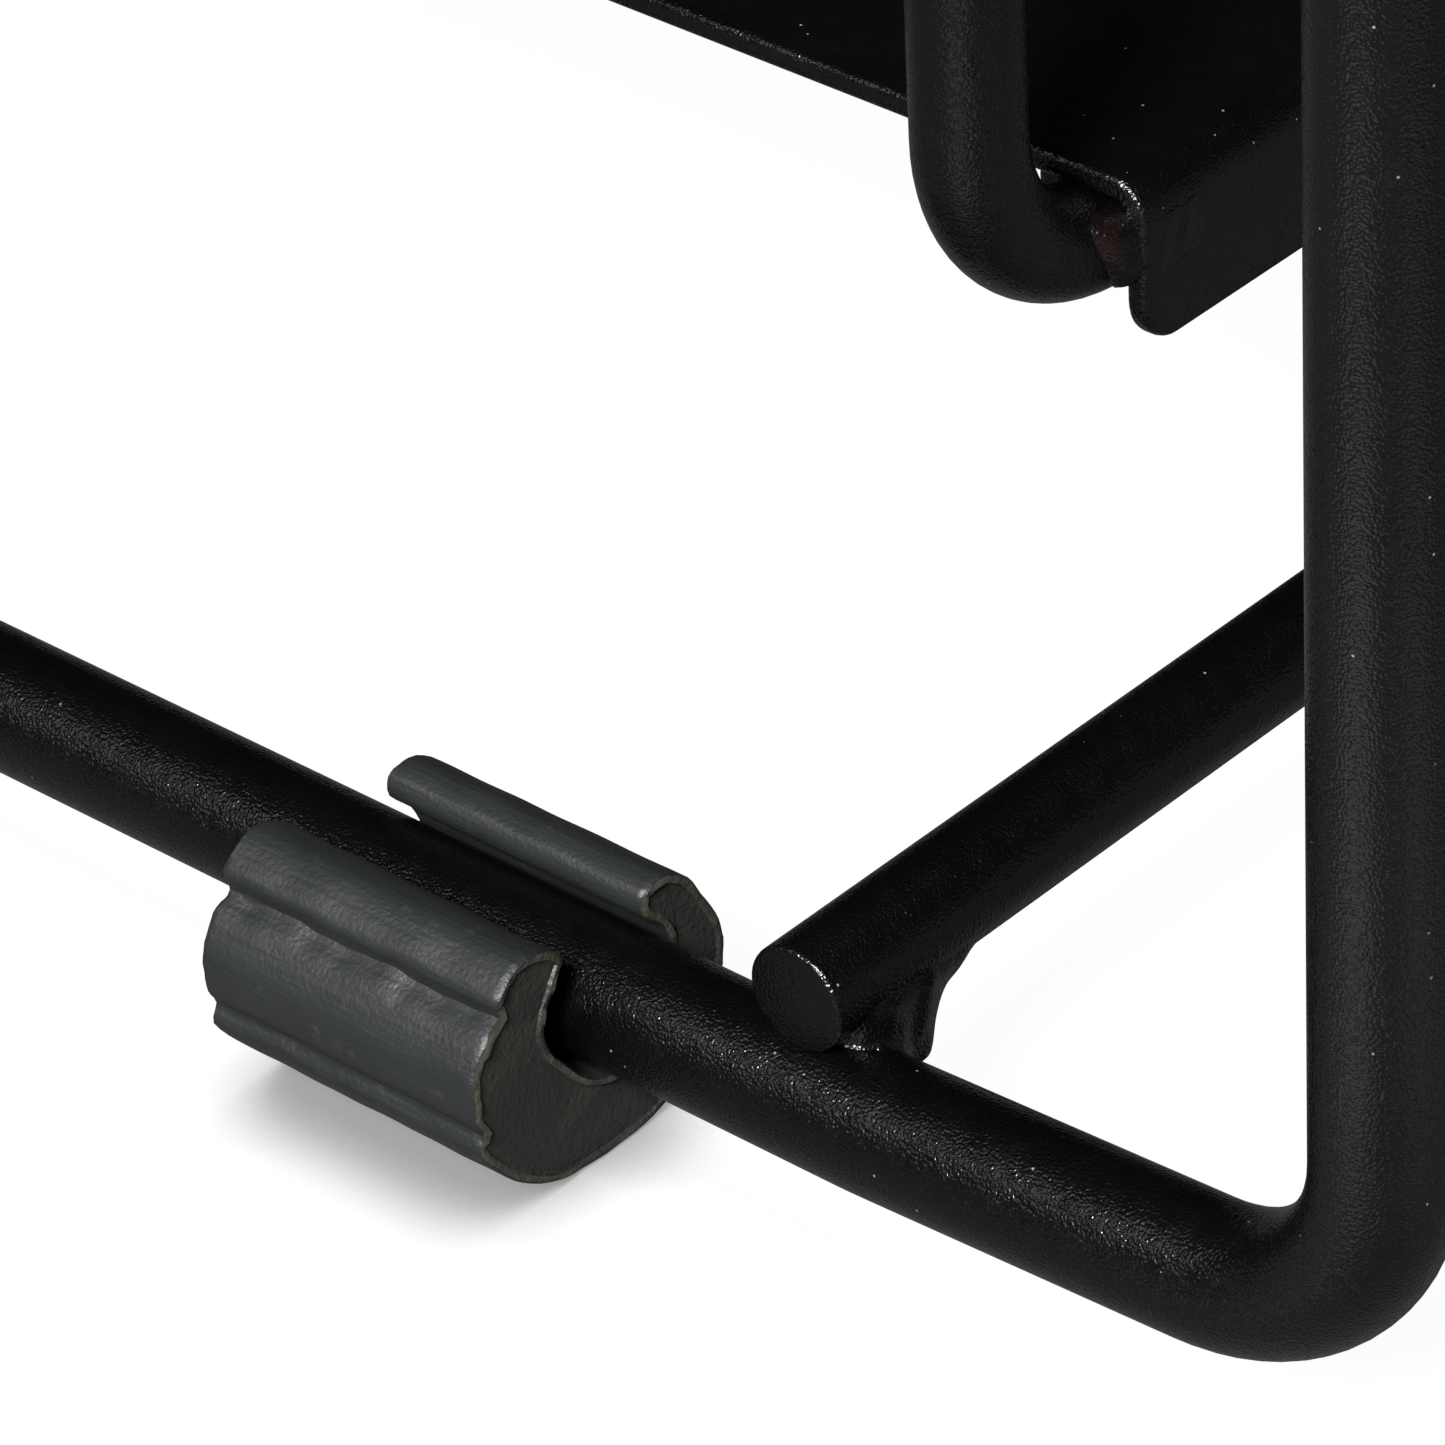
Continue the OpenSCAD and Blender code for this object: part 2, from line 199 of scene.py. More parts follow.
def bent_rod(name, at, heading, diameter, moves, ends=0.0003):
    """Draws a rod from a blank. A move is a length, or (degrees, radius, towards)."""
    at, heading = Vector(at), Vector(heading).normalized()
    piece = blank(name, at, heading, diameter)
    for move in moves:
        if isinstance(move, tuple):
            degrees, radius, towards = move
            aside = Vector(towards) - heading * Vector(towards).dot(heading)
            aside.normalize()
            centre = at + aside * radius
            turn = math.radians(degrees)
            bpy.ops.mesh.spin(steps=max(2, round(degrees / 5)), angle=turn, center=centre,
                              axis=-heading.cross(aside))
            at = centre - aside * radius * math.cos(turn) + heading * radius * math.sin(turn)
            heading = (heading * math.cos(turn) + aside * math.sin(turn)).normalized()
        else:
            bpy.ops.mesh.extrude_region_move(TRANSFORM_OT_translate={"value": heading * move})
            at = at + heading * move
    if ends:
        select_faces(piece, is_end)
        bpy.ops.mesh.bevel(offset=ends, segments=2, affect="EDGES")
    bpy.ops.object.mode_set(mode="OBJECT")
    return piece


def hinge_eye(name, at, bore, width=FRAME_D):
    """A forged eye round a pin that runs along Y, its rims slightly rounded."""
    x, y, z = at
    piece = blank(name, (x, y - width / 2, z), (0, -1, 0), EYE_D, 64)
    bpy.ops.mesh.inset(thickness=(EYE_D - bore) / 2, depth=0)
    bpy.ops.mesh.delete(type="FACE")
    bpy.ops.mesh.select_all(action="SELECT")
    bpy.ops.mesh.extrude_region_move(TRANSFORM_OT_translate={"value": (0, width, 0)})
    bpy.ops.mesh.select_all(action="SELECT")
    bpy.ops.mesh.normals_make_consistent(inside=False)
    bpy.ops.mesh.select_all(action="DESELECT")
    bpy.ops.mesh.select_mode(type="EDGE")
    bpy.ops.mesh.edges_select_sharp(sharpness=math.radians(50))
    bpy.ops.mesh.bevel(offset=0.0005, segments=3, affect="EDGES")
    bpy.ops.object.mode_set(mode="OBJECT")
    return piece


def weld_together(piece, others):
    """Joins closed shapes into one skin with exact unions."""
    for other in others:
        union = piece.modifiers.new("union", "BOOLEAN")
        union.operation, union.solver, union.object = "UNION", "EXACT", other
        only(piece)
        bpy.ops.object.modifier_apply(modifier=union.name)
        bpy.data.objects.remove(other)
    return piece


def hand_over(piece, body, slot, *nodes):
    """Puts a finished piece on its body, in the place of its solids."""
    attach(piece, body)
    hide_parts(*nodes)


pull_start = POST_X - CROSS_IN + BRACE_D / 2
pull_end = pull_start + PULL_R * math.sin(math.radians(PULL))
rise_x = POST_X - CORNER_R + CORNER_R * math.sin(math.radians(PULL)) - pull_end
rise = rise_x / math.cos(math.radians(PULL))
bend_h = (ROD_H + PULL_R * (1 - math.cos(math.radians(PULL))) + rise_x * math.tan(math.radians(PULL))
          + CORNER_R * math.cos(math.radians(PULL)))
for side, y in (("front", -SIDE_Y), ("back", SIDE_Y)):
    post_top = HINGE_H - 0.004       # inside the eyes
    stand = post_top - bend_h
    frame_rod = bent_rod(f"side_frame_{side}", (-POST_X, y, post_top), (0, 0, -1), FRAME_D, [
        stand, (90 - PULL, CORNER_R, (1, 0, 0)), rise, (PULL, PULL_R, (0, 0, 1)),
        2 * pull_start, (PULL, PULL_R, (0, 0, 1)), rise, (90 - PULL, CORNER_R, (0, 0, 1)), stand], ends=0)
    eyes = [hinge_eye("eye", (s * POST_X, y, HINGE_H), PIN_D) for s in (-1, 1)]
    weld_together(frame_rod, eyes)
    finish_piece(frame_rod, black_coat)
    hand_over(frame_rod, "base", "coated_steel", f"sled_{side}")

# ---------------------------------------------------------------------------------------
# Top rails: straight 10 mm rods cut to fit between the posts, and welded to them.
# ---------------------------------------------------------------------------------------
RAIL_H = 0.142
rail_end = POST_X - 0.001    # both ends lie inside the posts
for side, y in (("front", -SIDE_Y), ("back", SIDE_Y)):
    rail = bent_rod(f"top_rail_{side}", (-rail_end, y, RAIL_H), (1, 0, 0), FRAME_D,
                    [2 * rail_end], ends=0)
    finish_piece(rail, black_coat)
    hand_over(rail, "base", "coated_steel", f"rail_{side}")

# ---------------------------------------------------------------------------------------
# Cross rods: 8 mm rods, sheared to length, that lie on the floor rods and on the rails.
# The shear leaves a flat end with a rolled rim and a small ragged burr underneath.
# ---------------------------------------------------------------------------------------
CROSS_H = ROD_H + (FRAME_D + BRACE_D) / 2
TOP_ROD_H = RAIL_H + (FRAME_D + BRACE_D) / 2
PROUD = 0.002         # how far the cross rods stick out past the side frames' planes
HANGER_X = POST_X - 0.054
random.seed(11)


def sheared_rod(name, x, z):
    """A cross rod whose ends were cut by a shear."""
    piece = bent_rod(name, (x, SIDE_Y + PROUD, z), (0, -1, 0), BRACE_D, [2 * (SIDE_Y + PROUD)], ends=0)
    only(piece)
    bpy.ops.object.mode_set(mode="EDIT")
    for end in (-1, 1):
        select_faces(piece, lambda face: is_end(face) and face.center.y * end > 0)
        bpy.ops.mesh.bevel(offset=0.0004, segments=3, affect="EDGES")
    bpy.ops.object.mode_set(mode="OBJECT")
    for vertex in piece.data.vertices:
        low = (z - vertex.co.z) / (BRACE_D / 2)
        if low > 0.35 and abs(vertex.co.x - x) + low * BRACE_D / 2 > BRACE_D * 0.49:
            vertex.co.z -= random.uniform(-0.00014, 0.00024) * (low - 0.2)
            vertex.co.y -= math.copysign(random.uniform(0, 0.0003), vertex.co.y) * (low - 0.2)
    return finish_piece(piece, black_coat, 40)


for end, s in (("right", 1), ("left", -1)):
    rod = sheared_rod(f"floor_cross_rod_{end}", s * (POST_X - CROSS_IN), CROSS_H)
    hand_over(rod, "base", "coated_steel", f"floor_rod_{end}")
    rod = sheared_rod(f"top_cross_rod_{end}", s * HANGER_X, TOP_ROD_H)
    hand_over(rod, "base", "coated_steel", f"top_rod_{end}")

# ---------------------------------------------------------------------------------------
# Welds: short fillet welds run by hand, under the same powder coat, which melts over them
# and rounds every corner. Each kind is made once and copied to its places.
# ---------------------------------------------------------------------------------------
VOXEL = 0.00035       # the grid that a weld is melted on


def stub(at, to, radius):
    """A short round stub between two points."""
    at, to = Vector(at), Vector(to)
    return bent_rod("stub", at, to - at, 2 * radius, [(to - at).length], ends=0)


def block(at, size):
    """A block of filler metal, centred at a point."""
    clear_selection()
    bpy.ops.mesh.primitive_cube_add(size=1, location=at)
    piece = bpy.context.object
    piece.scale = size
    bpy.ops.object.transform_apply(location=True, rotation=True, scale=True)
    return piece


def weld_bead(name, shapes, rounds=14, lumps=0.00008):
    """Melts shapes into one skin: their inner corners fill up, as a weld does."""
    piece = weld_together(shapes[0], shapes[1:])
    piece.name = piece.data.name = name
    for kind in ("REMESH", "SMOOTH"):
        step = piece.modifiers.new(kind.lower(), kind)
        if kind == "REMESH":
            step.mode, step.voxel_size = "VOXEL", VOXEL
        else:
            step.factor, step.iterations = 0.5, rounds
        only(piece)
        bpy.ops.object.modifier_apply(modifier=step.name)
    for vertex in piece.data.vertices:
        x, y, z = (vertex.co * 1800)[:]
        vertex.co += vertex.normal * lumps * math.sin(x + 0.7 * y) * math.sin(y - 0.6 * z + 1.3)
    return finish_piece(piece, black_coat, 60)


def placed_copy(piece, name, flip=(1, 1, 1), shift=(0, 0, 0)):
    """A copy with its own mesh, mirrored about the rack's middle planes and moved."""
    only(piece)
    bpy.ops.object.duplicate()
    other = bpy.context.object
    other.name = other.data.name = name
    other.matrix_world = Matrix.Translation(shift) @ Matrix.Diagonal((*flip, 1))
    bpy.ops.object.transform_apply(location=True, rotation=True, scale=True)
    return finish_piece(other, piece.data.materials[0], 60)


def at_corners(first, kind):
    """The piece at the front right corner, and its mirrored copies at the other three."""
    return [first] + [placed_copy(first, f"{kind}_{corner}", flip) for corner, flip in
                      (("front_left", (-1, 1, 1)), ("back_right", (1, -1, 1)), ("back_left", (-1, -1, 1)))]


def coated_welds(welds):
    """Welds on the base, under its coat."""
    for weld in welds:
        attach(weld, "base")


web_x = POST_X - CROSS_IN + 0.0016
web = weld_bead("floor_weld_front_right", [
    stub((web_x - 0.012, -SIDE_Y, ROD_H), (web_x + 0.009, -SIDE_Y, ROD_H), FRAME_D / 2 - 0.0003),
    stub((POST_X - CROSS_IN, -SIDE_Y - 0.001, CROSS_H), (POST_X - CROSS_IN, -SIDE_Y + 0.018, CROSS_H),
         BRACE_D / 2 - 0.0003),
    stub((web_x - 0.0004, -SIDE_Y + 0.0034, ROD_H), (web_x, -SIDE_Y + 0.0034, CROSS_H - 0.0012), 0.0031),
    stub((web_x - 0.0006, -SIDE_Y + 0.0062, ROD_H + 0.0005),
         (web_x + 0.0002, -SIDE_Y + 0.0068, CROSS_H - 0.0012), 0.0029),
    stub((web_x - 0.0006, -SIDE_Y + 0.0058, CROSS_H - 0.0046),
         (web_x - 0.0006, -SIDE_Y + 0.0128, CROSS_H - 0.0010), 0.0027),
    stub((web_x - 0.0012, -SIDE_Y + 0.0054, ROD_H + 0.0022),
         (web_x + 0.0012, -SIDE_Y + 0.0054, ROD_H + 0.0022), 0.0016),
    ], rounds=40)
coated_welds(at_corners(web, "floor_weld"))
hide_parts("floor_rod_welds")

top_weld = weld_bead("top_weld_front_right", [
    stub((HANGER_X - 0.008, -SIDE_Y, RAIL_H), (HANGER_X + 0.008, -SIDE_Y, RAIL_H), FRAME_D / 2 - 0.0001),
    stub((HANGER_X, -SIDE_Y - 0.001, TOP_ROD_H), (HANGER_X, -SIDE_Y + 0.011, TOP_ROD_H),
         BRACE_D / 2 - 0.0001),
    block((HANGER_X, -SIDE_Y + 0.003, RAIL_H + 0.004), (0.006, 0.005, 0.004))])
rail_weld = weld_bead("rail_weld_front_right", [
    stub((POST_X, -SIDE_Y, RAIL_H - 0.009), (POST_X, -SIDE_Y, RAIL_H + 0.0045), FRAME_D / 2 - 0.0001),
    stub((POST_X - 0.013, -SIDE_Y, RAIL_H), (POST_X, -SIDE_Y, RAIL_H), FRAME_D / 2 - 0.0001),
    stub((POST_X - 0.0068, -SIDE_Y, RAIL_H), (POST_X - 0.0045, -SIDE_Y, RAIL_H), FRAME_D / 2 + 0.0007)])
coated_welds(at_corners(top_weld, "top_weld"))
coated_welds(at_corners(rail_weld, "rail_weld"))

# ---------------------------------------------------------------------------------------
# Hangers: 8 mm rod bent to a U. The legs drop from the top cross rods and the run carries
# the shelf. Welded to the rod above and to the sheet.
# ---------------------------------------------------------------------------------------
SHELF_H = 0.0635      # the sheet's underside, which rests on the hangers' runs
HANGER_R = 0.013
LEG_Y = SIDE_Y - 0.0256
leg = TOP_ROD_H - (SHELF_H - BRACE_D / 2 + HANGER_R)
hanger_weld = weld_bead("hanger_weld_front_right", [
    stub((HANGER_X, -LEG_Y - 0.009, TOP_ROD_H), (HANGER_X, -LEG_Y + 0.009, TOP_ROD_H),
         BRACE_D / 2 - 0.0001),
    stub((HANGER_X, -LEG_Y, TOP_ROD_H), (HANGER_X, -LEG_Y, TOP_ROD_H - 0.011), BRACE_D / 2 - 0.0001),
    stub((HANGER_X, -LEG_Y, TOP_ROD_H - 0.0058), (HANGER_X, -LEG_Y, TOP_ROD_H - 0.003),
         BRACE_D / 2 + 0.0007)])
coated_welds(at_corners(hanger_weld, "hanger_weld"))
for end, s in (("right", 1), ("left", -1)):
    hanger = bent_rod(f"shelf_hanger_{end}", (s * HANGER_X, -LEG_Y, TOP_ROD_H), (0, 0, -1), BRACE_D, [
        leg, (90, HANGER_R, (0, 1, 0)), 2 * (LEG_Y - HANGER_R), (90, HANGER_R, (0, 0, 1)), leg], ends=0)
    finish_piece(hanger, black_coat)
    hand_over(hanger, "base", "coated_steel", f"hanger_{end}")

# ---------------------------------------------------------------------------------------
# Shelf: 1.5 mm steel sheet with a thick coat, both ends folded down over the hangers. The
# long edges are as the shears left them, and one weld at each corner browned the coat.
# ---------------------------------------------------------------------------------------


def merged_copy(node, name, flat=0.0, rim=0.0):
    """A copy of a solid's surface with its loose triangles merged, its flats made one face
    each, and its edges rounded by 'rim'."""
    clear_selection()
    piece = bpy.data.objects.new(name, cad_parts[node].data.copy())
    piece.data.name = name
    bpy.context.scene.collection.objects.link(piece)
    only(piece)
    bpy.ops.object.mode_set(mode="EDIT")
    bpy.ops.mesh.select_all(action="SELECT")
    bpy.ops.mesh.remove_doubles(threshold=0.000005)
    if flat:
        bpy.ops.mesh.dissolve_limited(angle_limit=math.radians(flat))
    bpy.ops.object.mode_set(mode="OBJECT")
    if rim:
        bevel = piece.modifiers.new("rim", "BEVEL")
        bevel.width, bevel.segments, bevel.angle_limit = rim, 3, math.radians(40)
        bpy.ops.object.modifier_apply(modifier=bevel.name)
    return piece


shelf = merged_copy("shelf", "shelf_sheet", flat=1.0, rim=0.0006)
browned_at = (0.2294, 0.1555, 0.0618)     # where the weld meets the sheet's corner
browned_coat = powder_coat("powder_coat_browned_at_weld", browned_at)
finish_piece(shelf, browned_coat, 40)
hand_over(shelf, "base", "coated_steel", "shelf")

sheet_weld = weld_bead("sheet_weld_front_right", [
    stub((HANGER_X, -0.1516, SHELF_H - 0.0040), (HANGER_X, -0.1450, SHELF_H - 0.0040),
         BRACE_D / 2 - 0.0003),
    block((HANGER_X + 0.0042, -0.1500, SHELF_H - 0.0030), (0.0036, 0.0060, 0.0052)),
    stub((HANGER_X + 0.0034, -0.1548, SHELF_H - 0.0042),
         (HANGER_X + 0.0044, -0.1488, SHELF_H - 0.0036), 0.0020),
    stub((HANGER_X + 0.0028, -0.1556, SHELF_H - 0.0026),
         (HANGER_X + 0.0040, -0.1500, SHELF_H - 0.0020), 0.0020),
    stub((HANGER_X - 0.0030, -0.1524, SHELF_H - 0.0012),
         (HANGER_X - 0.0030, -0.1450, SHELF_H - 0.0012), 0.0017),
    stub((HANGER_X - 0.0040, -0.1556, SHELF_H - 0.0012),
         (HANGER_X + 0.0036, -0.1556, SHELF_H - 0.0022), 0.0019),
    ], rounds=22)
sheet_weld.data.materials[0] = browned_coat
coated_welds(at_corners(sheet_weld, "sheet_weld"))

# ---------------------------------------------------------------------------------------
# Feet: soft grey PVC, extruded as a horseshoe with two ribs down its face, chopped to
# length and pushed over the floor rods from below. The chop leaves rough, paler ends.
# ---------------------------------------------------------------------------------------
FOOT_LEN = 0.0257
FOOT_IN = 0.0659      # a foot's near end from the post
FOOT_OUTLINE = [   # across and up from the floor rod's centre, in mm, once round
    (-5.3, 6.4), (-7.1, 8.0), (-9.5, 8.5), (-11.4, 7.5), (-12.3, 6.4), (-11.9, 4.9), (-13.2, 4.0),
    (-14.2, 2.8), (-14.9, 1.2), (-15.0, -0.6), (-14.9, -2.2), (-14.2, -3.5), (-14.6, -5.0),
    (-12.3, -8.1), (-9.8, -10.2), (-7.0, -11.5), (-4.0, -11.95), (0.4, -11.95), (3.6, -11.4),
    (7.0, -9.2), (9.4, -6.0), (10.4, -2.9), (10.7, -0.7), (10.1, 1.5), (8.7, 3.9), (7.5, 5.9),
    (5.4, 7.4), (3.8, 7.5), (2.7, 6.9), (2.7, 5.3), (4.4, 3.6), (5.4, 1.2), (5.4, -1.6), (4.0, -4.1),
    (1.6, -5.5), (-1.2, -5.6), (-3.8, -4.4), (-5.6, -2.4), (-6.9, -0.8), (-7.6, 0.9), (-7.5, 2.4),
    (-6.8, 3.7), (-6.2, 4.9)]


def pvc(name):
    """Soft PVC, extruded and chopped: dull and slightly waxy, with fine drawn lines along
    its length, paler scuffs, and a chalky, olive tint where the blade tore it."""
    soft, place = start_material(name)
    drawn = add_node(soft, "Mapping", {"Vector": place, "Scale": (0.06, 1.0, 1.0)})
    lines = add_node(soft, "TexNoise", {"Vector": drawn.outputs["Vector"], "Scale": 1400.0, "Detail": 3.0})
    grain = add_node(soft, "TexNoise", {"Vector": place, "Scale": 2600.0, "Detail": 2.0})
    cloud = add_node(soft, "TexNoise", {"Vector": place, "Scale": 190.0, "Detail": 4.0})
    tone = add_node(soft, "Mix", {FACTOR: cloud.outputs["Fac"], COLOUR_A: linear("#131515"),
                                  COLOUR_B: linear("#1d201f")}, data_type="RGBA")
    rubbed = add_node(soft, "TexNoise", {"Vector": place, "Scale": 420.0, "Detail": 5.0, "Roughness": 0.7})
    scuff = add_node(soft, "MapRange", {"Value": rubbed.outputs["Fac"], "From Min": 0.60,
                                        "From Max": 0.74, "To Min": 0.0, "To Max": 0.55})
    worn = add_node(soft, "Mix", {FACTOR: scuff.outputs["Result"], COLOUR_A: tone.outputs[MIXED],
                                  COLOUR_B: linear("#323431")}, data_type="RGBA")
    facing = add_node(soft, "SeparateXYZ", {"Vector": add_node(soft, "TexCoord").outputs["Normal"]})
    end_on = add_node(soft, "Math", {0: facing.outputs["X"]}, operation="ABSOLUTE")
    chopped = add_node(soft, "MapRange", {"Value": end_on.outputs[0], "From Min": 0.75, "From Max": 0.92})
    where = add_node(soft, "SeparateXYZ", {"Vector": place})
    out = add_node(soft, "Math", {0: where.outputs["X"]}, operation="ABSOLUTE")
    middle = add_node(soft, "Math", {0: out.outputs[0], 1: POST_X - FOOT_IN - FOOT_LEN / 2},
                      operation="SUBTRACT")
    reach = add_node(soft, "Math", {0: middle.outputs[0]}, operation="ABSOLUTE")
    rim = add_node(soft, "MapRange", {"Value": reach.outputs[0], "From Min": FOOT_LEN / 2 - 0.00022,
                                      "From Max": FOOT_LEN / 2 - 0.00004})
    core = add_node(soft, "Mix", {FACTOR: rim.outputs["Result"], COLOUR_A: linear("#1f201e"),
                                  COLOUR_B: linear("#37372f")}, data_type="RGBA")
    ends = add_node(soft, "Mix", {FACTOR: chopped.outputs["Result"], COLOUR_A: worn.outputs[MIXED],
                                  COLOUR_B: core.outputs[MIXED]}, data_type="RGBA")
    low = add_node(soft, "Bump", {"Height": lines.outputs["Fac"], "Strength": 0.35, "Distance": 0.0003})
    bump = add_node(soft, "Bump", {"Height": grain.outputs["Fac"], "Strength": 0.6,
                                   "Distance": 0.00012, "Normal": low.outputs["Normal"]})
    shader = add_node(soft, "BsdfPrincipled", {"Base Color": ends.outputs[MIXED], "Roughness": 0.5,
                                               "Specular IOR Level": 0.4,
                                               "Normal": bump.outputs["Normal"]})
    add_node(soft, "OutputMaterial", {"Surface": shader.outputs["BSDF"]})
    return soft


def eased(points, per):
    """More points on the same closed outline, on a smooth curve through it."""
    curve = []
    count = len(points)
    for i in range(count):
        a, b, c, d = (Vector(points[(i + k - 1) % count]) for k in range(4))
        for k in range(per):
            t = k / per
            curve.append(0.5 * ((2 * b) + (c - a) * t + (2 * a - 5 * b + 4 * c - d) * t ** 2
                                + (3 * b - a - 3 * c + d) * t ** 3))
    return curve


grey_pvc = pvc("grey_soft_pvc")
outline = eased(FOOT_OUTLINE, 3)
random.seed(5)
near_end = POST_X - FOOT_IN
foot = blank("foot_pad_front_right", (near_end, -SIDE_Y, ROD_H), (1, 0, 0), 0.02, len(outline))
bpy.ops.object.mode_set(mode="OBJECT")
for vertex, (across, up) in zip(foot.data.vertices, outline):
    vertex.co = (near_end, -SIDE_Y + across * MM, ROD_H + up * MM)
bpy.ops.object.mode_set(mode="EDIT")
bpy.ops.mesh.select_all(action="SELECT")
slices = 40
for _ in range(slices):
    bpy.ops.mesh.extrude_region_move(TRANSFORM_OT_translate={"value": (-FOOT_LEN / slices, 0, 0)})
bpy.ops.mesh.select_all(action="SELECT")
bpy.ops.mesh.normals_make_consistent(inside=False)
select_faces(foot, is_end)
bpy.ops.mesh.bevel(offset=0.0002, segments=1, affect="EDGES")
for end in (-1, 1):
    select_faces(foot, lambda face: is_end(face)
                 and (face.center.x - near_end + FOOT_LEN / 2) * end > 0)
    bpy.ops.mesh.inset(thickness=0.00045, depth=0)
    bpy.ops.mesh.inset(thickness=0.00012, depth=0)
    bpy.ops.transform.translate(value=(-0.0002 * end, 0, 0))
bpy.ops.object.mode_set(mode="OBJECT")
for vertex in foot.data.vertices:
    x, y, z = vertex.co
    across, up = (y + SIDE_Y) / MM, (z - ROD_H) / MM
    along = (near_end - x) / MM
    # its face and the two ribs wave a little, as the soft extrusion was drawn unevenly
    face_in = max(0.0, min(1.0, (-across - 9.0) / 3.0)) * max(0.0, min(1.0, (up + 10) / 3))
    ripple = 0.05 * math.sin(along * 0.55 + up * 0.5) + 0.04 * math.sin(along * 1.3 + up * 1.1 + 2)
    rib = max(0.0, 1 - abs(up - 4.6) / 1.2) + max(0.0, 1 - abs(up + 4.4) / 1.4)
    ripple += rib * (0.16 * math.sin(along * 0.7 + 0.5) + 0.08 * math.sin(along * 2.1))
    z += MM * ripple * face_in
    lip = max(0.0, min(1.0, (up - 4.0) / 3.0))
    z += MM * lip * 0.05 * math.sin(along * 0.8 + 1.0)
    # the blade tore both ends
    end_near = max(0.0, 1 - min(along, FOOT_LEN / MM - along) / 0.35)
    if end_near > 0:
        tear = 0.07 * math.sin(across * 1.6 + up * 1.1) + random.uniform(-0.06, 0.10)
        x += MM * tear * end_near * (1 if along < 5 else -1)
    if along > 12:                      # the far chop ran askew: the back lip is shorter
        x += MM * 1.8 * (along - 12) / 14 * max(0.0, min(1.0, (across + 6) / 10))
    vertex.co = (x, y, max(z, 0.00002))
finish_piece(foot, grey_pvc, 45)
for pad in at_corners(foot, "foot_pad"):
    hand_over(pad, "base", "foot_rubber", pad.name.replace("foot_pad", "foot"))

# ---------------------------------------------------------------------------------------
# Hinge hardware: 5 mm steel rivets with domed heads, plated black zinc, and a nylon
# washer in each joint so that coat doesn't rub on coat.
# ---------------------------------------------------------------------------------------


def black_zinc(name):
    """Black passivated zinc on steel: dark metal with a faint violet-brown bloom."""
    plated, place = start_material(name)
    bloom = add_node(plated, "TexNoise", {"Vector": place, "Scale": 300.0, "Detail": 3.0})
    tint = add_node(plated, "Mix", {FACTOR: bloom.outputs["Fac"], COLOUR_A: linear("#26262b"),
                                    COLOUR_B: linear("#3d3a38")}, data_type="RGBA")
    marks = add_node(plated, "TexNoise", {"Vector": place, "Scale": 1500.0, "Detail": 2.0})
    rough = add_node(plated, "MapRange", {"Value": marks.outputs["Fac"], "To Min": 0.28, "To Max": 0.46})
    dents = add_node(plated, "Bump", {"Height": marks.outputs["Fac"], "Strength": 0.2,
                                      "Distance": 0.0001})
    shader = add_node(plated, "BsdfPrincipled", {"Base Color": tint.outputs[MIXED], "Metallic": 1.0,
                                                 "Roughness": rough.outputs["Result"],
                                                 "Normal": dents.outputs["Normal"]})
    add_node(plated, "OutputMaterial", {"Surface": shader.outputs["BSDF"]})
    return plated


def nylon(name):
    """Black nylon 66, moulded: satin, with faint flow marks."""
    moulded, place = start_material(name)
    flow = add_node(moulded, "TexNoise", {"Vector": place, "Scale": 900.0, "Detail": 2.0})
    tint = add_node(moulded, "Mix", {FACTOR: flow.outputs["Fac"], COLOUR_A: linear("#141416"),
                                     COLOUR_B: linear("#1f1f21")}, data_type="RGBA")
    soft = add_node(moulded, "Bump", {"Height": flow.outputs["Fac"], "Strength": 0.15,
                                      "Distance": 0.0001})
    shader = add_node(moulded, "BsdfPrincipled", {"Base Color": tint.outputs[MIXED], "Roughness": 0.42,
                                                  "Normal": soft.outputs["Normal"]})
    add_node(moulded, "OutputMaterial", {"Surface": shader.outputs["BSDF"]})
    return moulded


zinc_rivets = black_zinc("black_zinc_rivets")
black_nylon = nylon("black_nylon")
for body, node in (("base", "base"), ("right_lower", "right_knee"), ("left_lower", "left_knee"),
                   ("deck", "deck")):
    rivets = finish_piece(merged_copy(f"{node}_pins", f"{node}_rivets"), zinc_rivets, 40)
    hand_over(rivets, body, "rivets", f"{node}_pins")
    washers = finish_piece(merged_copy(f"{node}_washers", f"{node}_nylon_washers"), black_nylon, 40)
    hand_over(washers, body, "washers", f"{node}_washers")

# ---------------------------------------------------------------------------------------
# Folding end panels: round-bar struts with a forged eye at each end, and 8 mm rods welded
# across. The lower struts carry a bent stop that holds the knee a little past straight.
# ---------------------------------------------------------------------------------------
for s in ("right", "left"):
    for part in ("lower_strut_front", "lower_strut_back", "lower_rod_bottom", "lower_rod_top"):
        piece = finish_piece(merged_copy(f"{s}_{part}", f"{s}_panel_{part}"), black_coat, 32)
        hand_over(piece, f"{s}_lower", "coated_steel", f"{s}_{part}")
    for part in ("upper_strut_front", "upper_strut_back", "upper_rod"):
        piece = finish_piece(merged_copy(f"{s}_{part}", f"{s}_panel_{part}"), black_coat, 32)
        hand_over(piece, f"{s}_upper", "coated_steel", f"{s}_{part}")

# ---------------------------------------------------------------------------------------
# Deck: a hoop of 10 mm rod, closed by a butt weld, with four hinge lugs welded under it.
# ---------------------------------------------------------------------------------------
HOOP_H = 0.47624973   # the hoop's centreline above the floor
LAP_Y = 0.1786        # its long rods from the middle
for node, name in (("deck_hoop", "deck_rod_hoop"), ("deck_lugs", "deck_hinge_lugs")):
    piece = finish_piece(merged_copy(node, name), black_coat, 32)
    hand_over(piece, "deck", "coated_steel", node)

# ---------------------------------------------------------------------------------------
# Straps: black nylon webbing, 50 mm wide, looped round both long rods of the hoop and
# sewn back under itself with a box and a cross at each end.
# ---------------------------------------------------------------------------------------
STRAP_W = 0.050
STRAP_T = 0.0014
TAIL = 0.044          # sewn back under the strap


